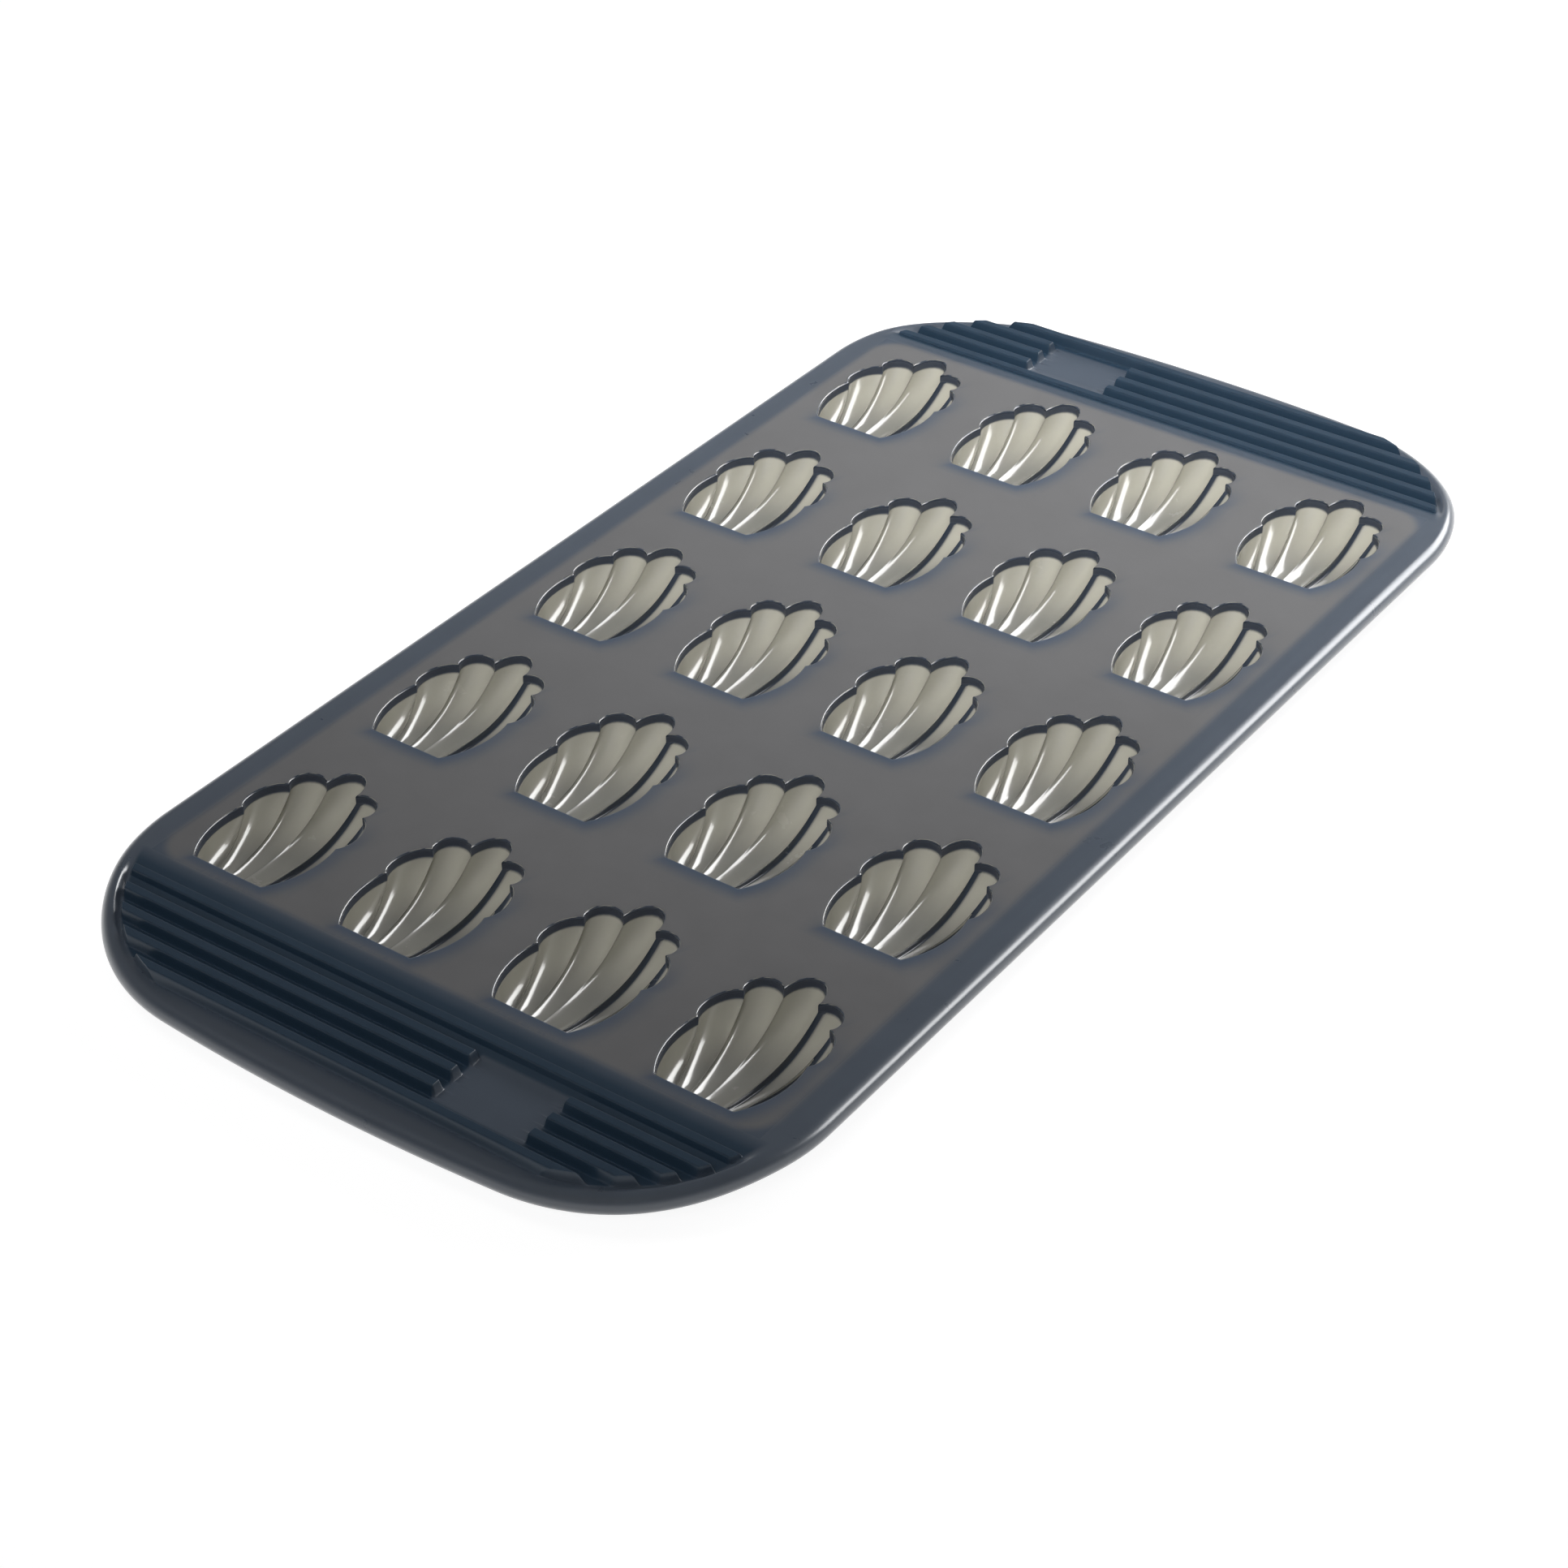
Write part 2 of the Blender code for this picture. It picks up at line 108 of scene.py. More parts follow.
def makePiece(name, patches, materials, sharpDegrees, nodes):
    # patches are (points, ring, tint, material): a grid of points, whether it closes on itself, its
    # thinness together with painted light and shade, and the number of its material
    points, quads, tints, numbers, count = [], [], [], [], 0
    for patch, ring, tint, number in patches:
        rowTotal, columnTotal = patch.shape[:2]
        points.append(patch.reshape(-1, 3))
        quads.append(gridQuads(rowTotal, columnTotal, ring) + count)
        tints.append(np.broadcast_to(tint, (rowTotal, columnTotal)).ravel())
        numbers.append(np.full(len(quads[-1]), number, np.int32))
        count += rowTotal * columnTotal
    mesh = bpy.data.meshes.new(name)
    mesh.from_pydata(np.concatenate(points).tolist(), [], np.concatenate(quads).tolist())
    mesh.polygons.foreach_set("material_index", np.concatenate(numbers))
    # each point's thinness, with painted shade and painted light folded into the same value
    thinnessLightAndShade = mesh.attributes.new("thinnessLightAndShade", "FLOAT", "POINT")
    thinnessLightAndShade.data.foreach_set("value", np.concatenate(tints).astype(np.float32))
    shape = bmesh.new()
    shape.from_mesh(mesh)
    bmesh.ops.remove_doubles(shape, verts=shape.verts[:], dist=meshing["joinDistance"])
    bmesh.ops.dissolve_degenerate(shape, edges=shape.edges[:], dist=meshing["leastEdge"])
    bmesh.ops.recalc_face_normals(shape, faces=shape.faces[:])
    for material in materials:
        mesh.materials.append(material)
    shape.to_mesh(mesh)
    shape.free()
    mesh.shade_smooth()
    mesh.set_sharp_from_angle(angle=math.radians(sharpDegrees))
    piece = bpy.data.objects.new(name, mesh)
    bpy.context.scene.collection.objects.link(piece)
    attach(piece, "root")
    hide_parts(*nodes)


# Materials

siliconeLook = {
    "slate": "4e5763",           # where the moulding is thick
    "grey": "6c6c6d",            # where it is a 2 mm sheet
    "shade": "4c5767",           # beside a mouth, where the cup below stops the light under the sheet
    "navy": "2a3c4d",            # ribs of the grips
    "cupTip": "b4b1a3",          # thin and polished, and paler with the painted light on the tips
    "cupHinge": "848380",        # thicker towards the hinge edge, and without the painted light of the tips
    "cupFlank": "313946",        # painted shade on the ridges and on the steps away from the light; also the polished rolled edge round each mouth and the bowl's rows at the collar
    "collar": "4a505c",          # upright wall between web and cup
    "thinCorner": 8 * mm,        # corner radius of the grey field
    "thinFade": 3.0 * mm,        # width of the change from grey to slate
    "mottleSize": 9 * mm,        # faint clouds in the rubber
    "mottleDetail": 4.0,
    "mottleRoughness": 0.6,
    "mottleRange": (0.3, 0.7),   # of the noise's values, which lie near its middle
    "mottleAmount": 0.03,        # share by which it changes the colour
    "wear": 0.1,                 # and the roughness
    "grainSize": 0.35 * mm,      # the blasted mould's grain is finer: drawn this coarse so that it shows
    "grainDetail": 2.0,
    "grainDepth": 0.006 * mm,
    "refraction": 1.41,
    "coatRefraction": 1.5,
}


def linearColour(hexColour):
    # an sRGB hex colour as linear red, green, blue and alpha
    channels = np.array([int(hexColour[i : i + 2], 16) for i in (0, 2, 4)]) / 255
    linear = np.where(channels <= 0.04045, channels / 12.92, ((channels + 0.055) / 1.055) ** 2.4)
    return (*linear.tolist(), 1.0)


def addNode(tree, kind, inputs=(), **settings):
    # a node with its settings, its values and its links: a socket given as a value is linked
    node = tree.nodes.new(kind)
    for key, value in settings.items():
        setattr(node, key, value)
    for key, value in dict(inputs).items():
        if isinstance(value, bpy.types.NodeSocket):
            tree.links.new(value, node.inputs[key])
        else:
            node.inputs[key].default_value = value
    return node


def newMaterial(name):
    material = bpy.data.materials.new(name)
    material.use_nodes = True
    tree = material.node_tree
    tree.nodes.clear()
    return material, tree


def mixColour(tree, amount, first, second, blend="MIX"):
    # two colours mixed by an amount; the mix node has sockets of several kinds, so they go by number
    inputs = {0: amount, 6: first, 7: second}
    return addNode(tree, "ShaderNodeMix", inputs, data_type="RGBA", blend_type=blend).outputs[2]


def thinField(tree, place):
    # 1 over the thin web and 0 on the thick edge: signed distance to a rounded rectangle, faded
    corner, fade = siliconeLook["thinCorner"], siliconeLook["thinFade"]
    halves = (webHalfWidth - corner, webHalfLength - corner, 0.0)
    socket = addNode(tree, "ShaderNodeVectorMath", {0: place}, operation="ABSOLUTE").outputs[0]
    for operation, other in (("SUBTRACT", halves), ("MAXIMUM", (0, 0, 0)), ("MULTIPLY", (1, 1, 0))):
        inputs = {0: socket, 1: other}
        socket = addNode(tree, "ShaderNodeVectorMath", inputs, operation=operation).outputs[0]
    reach = addNode(tree, "ShaderNodeVectorMath", {0: socket}, operation="LENGTH").outputs["Value"]
    inputs = {"Value": reach, "From Min": corner - fade / 2, "From Max": corner + fade / 2,
              "To Min": 1.0, "To Max": 0.0}
    return addNode(tree, "ShaderNodeMapRange", inputs, interpolation_type="SMOOTHSTEP").outputs[0]


def mottledGain(tree, mottle, amount, middle=1.0):
    # a value that swings round its middle by a share of it, as the mottle does
    low, high = siliconeLook["mottleRange"]
    inputs = {"Value": mottle, "From Min": low, "From Max": high,
              "To Min": middle * (1 - amount), "To Max": middle * (1 + amount)}
    return addNode(tree, "ShaderNodeMapRange", inputs).outputs[0]


def siliconeSurface(name, deep, thick, thin, gloss, roughness, coat=0.0, coatRoughness=0.1):
    # moulded silicone: the attribute of thinness and painted light and shade goes from the deep tint to the
    # thick one, and the field over the web from that to the thin one; a faint mottle and a fine satin grain
    # lie over all
    look = siliconeLook
    material, tree = newMaterial(name)
    deep, thick, thin = (linearColour(look[tint]) for tint in (deep, thick, thin))
    place = addNode(tree, "ShaderNodeTexCoord").outputs["Object"]
    # thinness with painted light and shade, read from the mesh
    own = addNode(tree, "ShaderNodeAttribute", attribute_name="thinnessLightAndShade").outputs["Fac"]
    inputs = {0: thinField(tree, place), 1: own}
    field = addNode(tree, "ShaderNodeMath", inputs, operation="MULTIPLY").outputs[0]
    colour = mixColour(tree, field, mixColour(tree, own, deep, thick), thin)
    mottle = addNode(tree, "ShaderNodeTexNoise", {
        "Vector": place, "Scale": 1 / look["mottleSize"], "Detail": look["mottleDetail"],
        "Roughness": look["mottleRoughness"]}).outputs["Fac"]
    gain = mottledGain(tree, mottle, look["mottleAmount"])
    colour = mixColour(tree, 1.0, colour, gain, "MULTIPLY")
    grain = addNode(tree, "ShaderNodeTexNoise", {
        "Vector": place, "Scale": 1 / look["grainSize"], "Detail": look["grainDetail"]}).outputs["Fac"]
    bump = addNode(tree, "ShaderNodeBump", {
        "Height": grain, "Strength": 1.0, "Distance": look["grainDepth"]}).outputs[0]
    worn = mottledGain(tree, mottle, look["wear"], roughness)
    shader = addNode(tree, "ShaderNodeBsdfPrincipled", {
        "Base Color": colour, "Roughness": worn, "IOR": look["refraction"],
        "Specular IOR Level": gloss, "Coat Weight": coat, "Coat Roughness": coatRoughness,
        "Coat IOR": look["coatRefraction"], "Normal": bump})
    addNode(tree, "ShaderNodeOutputMaterial", {"Surface": shader.outputs[0]})
    return material


# Silicone rubber pressed against a blasted mould: a soft satin that blurs the lights
webSilicone = siliconeSurface("satinSiliconeWeb", "shade", "slate", "grey", 0.35, 0.42)
# The same rubber against a polished core: each cup is slick, and pale because its wall is thin; its flutes
# carry painted shade and its tips painted light
cupSilicone = siliconeSurface("polishedSiliconeCup", "cupFlank", "cupHinge", "cupTip", 0.5, 0.25,
                              coat=1.0)
# The upright collar between web and cup keeps the blasted finish; it looks dark because it is thick
# and turned from the lights
collarSilicone = siliconeSurface("satinSiliconeCollar", "collar", "collar", "collar", 0.3, 0.45)
# Thick rim: the full slate blue with a slightly tighter gloss along its rolled edge
railSilicone = siliconeSurface("satinSiliconeRim", "slate", "slate", "grey", 0.8, 0.3,
                               coat=0.65, coatRoughness=0.22)
# Grips: slate like the rim, with ribs of the darkest blue, matt so that fingers hold them
gripSilicone = siliconeSurface("mattSiliconeGrip", "navy", "slate", "grey", 0.6, 0.32)
print("materials made")


# The mouth of a cup and its flutes, in a cup's own place: hinge edge on y = 0, shell fanning to +y

mouth = {
    "fluteCount": 7,
    # right-hand ends of the ridges on the hinge edge and on the rim, and the lobes between them
    "ridgeAtHinge": (2.4 * mm, 4.6 * mm, 6.9 * mm, 10.2 * mm),
    "notches": ((4.5 * mm, 38.6 * mm), (11.3 * mm, 33.2 * mm), (14.2 * mm, 20.5 * mm)),
    "bulges": (7.0 * mm, 4.1 * mm, 2.8 * mm, 2.3 * mm),     # middle lobe first
    "roundness": (1.0, 1.0, 0.6, 0.3),
    "centre": 17 * mm,           # rings round the mouth spread from this place
    "fillet": 0.6 * mm,          # where the web rolls over into the cup
    "filletSteps": 7,
    "wallRings": 3,              # of the wall round the mouth, up to the start of the fillet
    "satinRings": 3,             # last rings of the fillet, satin like the web; the others are polished
    "normalSmoothing": 30,       # passes that even out the directions of the fillet and of the wall
    "raySmoothing": 12,          # passes that even out the rays over the web
    "topShares": (0.0, 0.04, 0.08, 0.13, 0.19, 0.27, 0.38, 0.6, 1.0),     # from the mouth to the border
    "underShares": (0.0, 0.3, 0.65, 1.0),
    "columnsPerFlute": 16,
    "crowding": 0.6,             # how much closer together the columns are beside the ridges
    "shadeReach": 5.5 * mm,      # how far the shade beside a mouth reaches into the web
    "shadeSide": (0.5, -0.87),   # and on which side: away from the light
    "shadeAround": 0.15,         # and how much of it lies square to that
    "sharpDegrees": 40,
}
cup = {
    "collar": 2.3 * mm,          # upright wall from the web's top to the start of the bowl
    "ridgeDepth": 6.9 * mm,      # of the ridges, below the collar
    "fluteDepth": 1.3 * mm,      # of the middle flute, below its ridges
    "step": 1.5 * mm,            # the outer flutes drop this far just outside their inner ridge
    "stepWidth": 0.03,           # share of a flute's width that the drop takes
    "stepScoop": 0.35,           # share of the middle flute's depth that the outer flutes have besides
    "fluteAtHinge": 0.4,         # share of a flute's depth that is left beside the hinge edge
    "deepestPlace": 0.45,        # along a flute, from the hinge edge at 0 to the rim at 1
    "hingeFullness": 2.5,        # powers of the arches: the higher, the squarer
    "tipFullness": 2.5,
    "sideFullness": 1.6,
    "wall": 1.3 * mm,
    "floorWall": 1.8 * mm,
    "ridgeRounding": 0.035,      # share of a flute's width over which its ridge is rounded
    "hingeRows": 16,
    "tipRows": 20,
    "lastRow": 0.988,            # place of the row beside the collar, where the dark of the collar ends
    "shadedFlankReach": (0.10, 0.17),  # share of an outer flute's width, from its inner ridge, painted in shade on the flutes right of the middle
    "ridgeShadeWidth": 0.05,           # share of a flute's width that the painted shade along its ridge takes
    "ridgeShadeAmount": 0.35,           # how far that painted shade goes towards the shade tint of the flanks
    "tipThinningAndLight": (0.4, 0.95, 0.45, 0.95),     # thinness with painted light towards the tip, and place: from, to, from, to along a flute
    "sharpDegrees": 60,
}
middleFlute = mouth["fluteCount"] // 2


def arch(s, power):
    # height of a full-bodied arch, 1 at s = 0 and 0 at s = -1 and 1
    return np.clip(1 - np.abs(s) ** power, 0, None) ** (1 / power)


def fluteLines():
    # for every column of a cup: its flute number from the left, and its place 0 to 1 across that
    # flute, closer together beside the ridges
    steps, count = mouth["columnsPerFlute"], mouth["fluteCount"]
    number = np.repeat(np.arange(count), steps)
    even = np.arange(steps) / steps
    across = even - mouth["crowding"] * np.sin(2 * np.pi * even) / (2 * np.pi)
    return np.append(number, count - 1), np.append(np.tile(across, count), 1.0)


def hingeAndRim():
    # ends of each column in plan: on the hinge edge evenly between ridges, on the rim along a lobe,
    # which is its chord plus a sine or half ellipse standing out from it
    number, u = fluteLines()
    right = np.array(mouth["ridgeAtHinge"])
    hingeX = np.concatenate([-right[::-1], right])
    rightRim = np.concatenate([mouth["notches"], [[right[-1], 0.0]]])
    rim = np.concatenate([rightRim[::-1] * (-1, 1), rightRim])
    kind = np.abs(number - middleFlute)
    a, b = rim[number], rim[number + 1]
    share = np.array(mouth["roundness"])[kind]
    along = (1 - share) * u + share * (1 - np.cos(np.pi * u)) / 2
    chord = b - a
    outward = np.stack([-chord[:, 1], chord[:, 0]], -1) / np.linalg.norm(chord, axis=1)[:, None]
    rise = np.array(mouth["bulges"])[kind] * np.sin(np.pi * u)
    rimPoints = a + chord * along[:, None] + outward * rise[:, None]
    hingePoints = np.stack([hingeX[number] * (1 - u) + hingeX[number + 1] * u, np.zeros_like(u)], -1)
    return hingePoints, rimPoints


def loopAround(rimRow, hingeRow):
    # the closed loop: along the rim from the left corner to the right, and back along the hinge edge
    return np.concatenate([rimRow, hingeRow[-2:0:-1]])


def circularMean(values, passes):
    # values round a loop, each pass a mean of a value and its two neighbours, weighed 1, 2, 1
    for _ in range(passes):
        values = (np.roll(values, 1, 0) + 2 * values + np.roll(values, -1, 0)) / 4
    return values


def outwardDirections(loop):
    # unit normals of the closed loop in plan, evened out so that they don't cross at the notches
    along = np.roll(loop, -1, 0) - np.roll(loop, 1, 0)
    normal = np.stack([-along[:, 1], along[:, 0]], -1)
    normal /= np.linalg.norm(normal, axis=1)[:, None]
    normal = circularMean(normal, mouth["normalSmoothing"])
    return normal / np.linalg.norm(normal, axis=1)[:, None]


def longSection(t):
    # share of the full depth along a flute: a steep arch at the hinge, a gentle rise to the tip
    deepest = cup["deepestPlace"]
    steep = arch(1 - np.minimum(t, deepest) / deepest, cup["hingeFullness"])
    gentle = 1 - np.clip((t - deepest) / (1 - deepest), 0, 1) ** cup["tipFullness"]
    return np.where(t < deepest, steep, gentle)


def bowlEnds(wall):
    # ends of each column on the hinge edge and on the rim, grown outward by a wall
    hinge, rim = hingeAndRim()
    if not wall:
        return hinge, rim
    loop = loopAround(rim, hinge)
    grown = loop + outwardDirections(loop) * wall
    columnTotal = len(rim)
    rim = grown[:columnTotal]
    hinge = np.concatenate([grown[:1], grown[columnTotal:][::-1], grown[columnTotal - 1 : columnTotal]])
    return hinge, rim


def bowlGrid(wall, floorWall):
    # the cup's skin: the section along each flute times one across the cup, plus a scoop for the
    # flute; the walls push it outward and down, and it is cut flat where the cup stands
    number, u = fluteLines()
    hinge, rim = bowlEnds(wall)
    deepest = cup["deepestPlace"]
    steepRows = deepest * (1 - np.cos(np.linspace(0, np.pi / 2, cup["hingeRows"])))
    gentleRows = np.linspace(deepest, 1, cup["tipRows"])[1:-1]
    t = np.concatenate([steepRows, gentleRows, [cup["lastRow"], 1]])[:, None]
    fromMiddle = (number + u) / (mouth["fluteCount"] / 2) - 1
    across = np.sqrt(np.clip(1 - np.abs(fromMiddle) ** cup["sideFullness"], 0, 1))
    fromRidge = np.minimum(u, 1 - u)
    soft = cup["ridgeRounding"]
    rounded = np.sqrt(fromRidge**2 + soft**2) - soft
    fromInner = np.where(number < middleFlute, 1 - u, u)
    drop = (1 - fromInner) * (1 - np.exp(-fromInner / cup["stepWidth"]))
    scoop = cup["fluteDepth"] * 4 * rounded * (1 - rounded)
    stepped = cup["stepScoop"] * scoop + cup["step"] * drop
    scoop = np.where(number == middleFlute, scoop, stepped)
    atHinge = cup["fluteAtHinge"]
    scoop = scoop * (atHinge + (1 - atHinge) * np.minimum(1, t / deepest))
    depth = ((cup["ridgeDepth"] + floorWall) * across + scoop) * longSection(t)
    x = hinge[:, 0] + (rim[:, 0] - hinge[:, 0]) * t
    y = hinge[:, 1] + (rim[:, 1] - hinge[:, 1]) * t
    points = grid(x, y, np.maximum(webTop - cup["collar"] - depth, 0.0))
    return points, bowlThinnessLightAndShade(t, number, fromInner, fromRidge)


def bowlThinnessLightAndShade(t, number, fromInner, fromRidge):
    # thinness along a flute, growing towards the tip with painted light there, lowered by painted shade on
    # the ridges, and none, as painted shade, on the steps that face away from the light, nor on the rows
    # that join the collar
    hingeEnd, tipEnd, start, end = cup["tipThinningAndLight"]
    # paler towards the tip: partly the thinner wall there, partly painted light on the tip
    along = hingeEnd + (tipEnd - hingeEnd) * smoothStep((t - start) / (end - start))
    low, high = cup["shadedFlankReach"]
    # painted shade on the steps of the flutes right of the middle, the side away from the light
    flank = np.where(number > middleFlute, 1 - smoothStep((fromInner - low) / (high - low)), 0.0)
    # painted shade along every ridge
    ridgeShading = cup["ridgeShadeAmount"] * smoothStep(1 - fromRidge / cup["ridgeShadeWidth"])
    return along * (1 - np.maximum(flank, ridgeShading)) * ((t > 0) & (t < 1))


def cupPatches():
    # the skins of one cup below the web: bowl, collar, the flat top against the web, and the outside;
    # material 0 is the polished one, 1 the satin one and 2 the collar's
    inner, innerThinnessLightAndShade = bowlGrid(0.0, 0.0)
    outer, _ = bowlGrid(cup["wall"], cup["floorWall"])
    loop, outerLoop = (loopAround(skin[-1], skin[0]) for skin in (inner, outer))
    top, outerTop = (atHeight(ring, webBottom) for ring in (loop, outerLoop))
    return [(inner, False, innerThinnessLightAndShade, 0),
            (np.stack([loop, top]), True, 0.0, 2),
            (np.stack([top, outerTop]), True, 0.0, 2),
            (np.stack([outerTop, outerLoop]), True, 1.0, 1),
            (outer, False, 1.0, 1)]


def cupPlace(row, column):
    # middle of the hinge edge of one cup, read from its solid
    low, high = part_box(f"cup_r{row}_c{column}")
    return np.array([(low.x + high.x) / 2, low.y + cup["wall"], 0.0])


def makeCups():
    patches = cupPatches()
    materials = [cupSilicone, webSilicone, collarSilicone]
    for row in range(1, rowCount + 1):
        for column in range(1, columnCount + 1):
            place = cupPlace(row, column)
            moved = [(points + place, ring, tint, number) for points, ring, tint, number in patches]
            makePiece(f"cup_r{row}_c{column}_skin", moved, materials, cup["sharpDegrees"],
                      [f"cup_r{row}_c{column}"])


makeCups()
print("cups made")


# The web round the mouths


def mouthShade(loop, distance):
    # the web's thinness at a distance from the mouth, lowered by painted shade on the side where the cup's
    # shade falls
    side = outwardDirections(loop) @ np.array(mouth["shadeSide"])
    amount = smoothStep(mouth["shadeAround"] + (1 - mouth["shadeAround"]) * side)
    return 1 - amount * (1 - smoothStep(distance / mouth["shadeReach"]))


def mouthEdge(loop):
    # the web's wall round a mouth from its underside up, and the edge that rolls over onto its top:
    # a quarter circle
    fillet = mouth["fillet"]
    out = outwardDirections(loop)
    wall = [atHeight(loop, z) for z in (webBottom, (webBottom + webTop - fillet) / 2)]
    for angle in np.linspace(0, np.pi / 2, mouth["filletSteps"]):
        ring = loop + out * fillet * (1 - math.cos(angle))
        wall.append(atHeight(ring, webTop - fillet * (1 - math.sin(angle))))
    return np.stack(wall)


def cellBorder(loop, centre, low, high):
    # where rays from the mouth's centre meet the cell's border, one for each point of the loop; their
    # angles are evened out so that the rays keep their order at the notches
    arm = loop - centre
    angle = np.unwrap(np.arctan2(arm[:, 1], arm[:, 0]))
    even = angle[0] - 2 * np.pi * np.arange(len(angle)) / len(angle)
    angle = even + circularMean(angle - even, mouth["raySmoothing"])
    ray = np.stack([np.cos(angle), np.sin(angle)], -1)
    with np.errstate(divide="ignore"):
        reach = np.abs((np.where(ray > 0, high, low) - centre) / ray).min(1)
    border = centre + ray * reach[:, None]
    for cornerX in (low[0], high[0]):
        for cornerY in (low[1], high[1]):
            nearest = np.argmin(np.hypot(border[:, 0] - cornerX, border[:, 1] - cornerY))
            border[nearest] = (cornerX, cornerY)
    return border


def spread(inner, outer, shares):
    # places between two loops in plan, with a row for each share of the way
    return inner + (outer - inner) * np.array(shares)[:, None, None]


def webCell(loop, place, low, high):
    # one mouth and the web round it: satin wall, polished edge, satin top out to the cell's border,
    # and underside; material 0 is the web's, 1 the polished one and 2 the collar's
    edgeRings = mouthEdge(loop + place)
    rolled = edgeRings[-1, :, :2]
    border = cellBorder(loop + place, place + (0, mouth["centre"]), low, high)
    top = spread(rolled, border, mouth["topShares"])
    distance = np.hypot(top[..., 0] - rolled[:, 0], top[..., 1] - rolled[:, 1])
    under = spread(loop + place, border, mouth["underShares"])
    polishedFrom, satinFrom = mouth["wallRings"] - 1, len(edgeRings) - mouth["satinRings"]
    patches = [(edgeRings[: polishedFrom + 1], True, 0.0, 2),
               (edgeRings[polishedFrom : satinFrom + 1], True, 0.0, 1),
               (edgeRings[satinFrom:], True, mouthShade(loop, 0.0), 0),
               (atHeight(top, webTop), True, mouthShade(loop, distance), 0),
               (atHeight(under, webBottom), True, 1.0, 0)]
    return patches, border


def endWall(border, axis, value):
    # upright wall along one side of the strip, through every point that the cells have there
    points = border[np.abs(border[:, axis] - value) < meshing["sameLine"]]
    along = np.unique(np.round(points[:, 1 - axis], meshing["decimals"]))
    fixed = np.full_like(along, value)
    x, y = (fixed, along) if axis == 0 else (along, fixed)
    return np.stack([grid(x, y, webTop), grid(x, y, webBottom)]), False, 1.0, 0


def makeWeb():
    # each strip is a row of cells, which meet halfway between the mouths and between the solids
    hinge, rim = hingeAndRim()
    loop = loopAround(rim, hinge)
    materials = [webSilicone, cupSilicone, collarSilicone]
    rowEdges = [webBoxes[0][0].y]
    rowEdges += [(below[1].y + above[0].y) / 2 for below, above in zip(webBoxes[:-1], webBoxes[1:])]
    rowEdges.append(webBoxes[-1][1].y)
    for row in range(rowCount):
        places = [cupPlace(row + 1, column + 1)[:2] for column in range(columnCount)]
        columnEdges = [-webHalfWidth]
        columnEdges += [(a[0] + b[0]) / 2 for a, b in zip(places[:-1], places[1:])]
        columnEdges.append(webHalfWidth)
        patches, borders = [], []
        for column, place in enumerate(places):
            low = (columnEdges[column], rowEdges[row])
            high = (columnEdges[column + 1], rowEdges[row + 1])
            cell, border = webCell(loop, place, low, high)
            patches += cell
            borders.append(border)
        border = np.concatenate(borders)
        patches += [endWall(border, 1, y) for y in rowEdges[row : row + 2]]
        patches += [endWall(border, 0, x) for x in (-webHalfWidth, webHalfWidth)]
        makePiece(f"web_row_{row + 1}_skin", patches, materials, mouth["sharpDegrees"],
                  [f"web_row_{row + 1}"])


makeWeb()
print("web made")


# The thick edge: rails along the sides and a grip at each end

edge = {
    "cornerRadius": 52 * mm,
    "bowRadius": 600 * mm,       # of the ends of the tray
    "roundSteps": 18,            # round the full half circle of the edge
    "railStep": 2 * mm,
    "flatShares": (0.0, 0.5),    # places on the flat from the web to the start of the round
    "sharpDegrees": 40,
}
cornerX = trayHalfWidth - edge["cornerRadius"]
bowSide = math.sqrt((edge["bowRadius"] - edge["cornerRadius"]) ** 2 - cornerX**2)
cornerY = trayHalfLength - edge["bowRadius"] + bowSide
edgeRadius = edgeHeight / 2


def roundEdge():
    # inset and height of the full round from the top over the side to the bottom: half a circle
    angle = np.linspace(np.pi / 2, -np.pi / 2, edge["roundSteps"] + 1)
    return edgeRadius * (1 - np.cos(angle)), webTop - edgeRadius + edgeRadius * np.sin(angle)


def makeRails():
    # a section carried along the side and into the corner arcs, from the web's edge round and back
    stations = int(2 * webHalfLength / edge["railStep"]) + 1
    y = np.linspace(-webHalfLength, webHalfLength, stations)[:, None]
    past = np.clip(np.abs(y) - cornerY, 0, None)
    inset, height = roundEdge()
    x = cornerX + np.sqrt((edge["cornerRadius"] - inset) ** 2 - past**2)
    inner = np.full_like(y, webHalfWidth)
    shares = np.array(edge["flatShares"])
    topX = inner + (x[:, :1] - inner) * shares
    bottomX = inner + (x[:, -1:] - inner) * shares[::-1]
    top, bottom = np.full_like(shares, webTop), np.full_like(shares, webTop - edgeHeight)
    section = grid(np.concatenate([topX, x, bottomX], 1), y, np.concatenate([top, height, bottom]))
    half = section.shape[1] // 2
    for name, turn in (("rail_right", 1), ("rail_left", -1)):
        skin = section * (turn, turn, 1)
        ends = [(np.stack([skin[k][:half], skin[k][::-1][:half]]), False, 1.0, 0) for k in (0, -1)]
        makePiece(name + "_skin", [(skin, True, 1.0, 0)] + ends, [railSilicone],
                  edge["sharpDegrees"], [name])


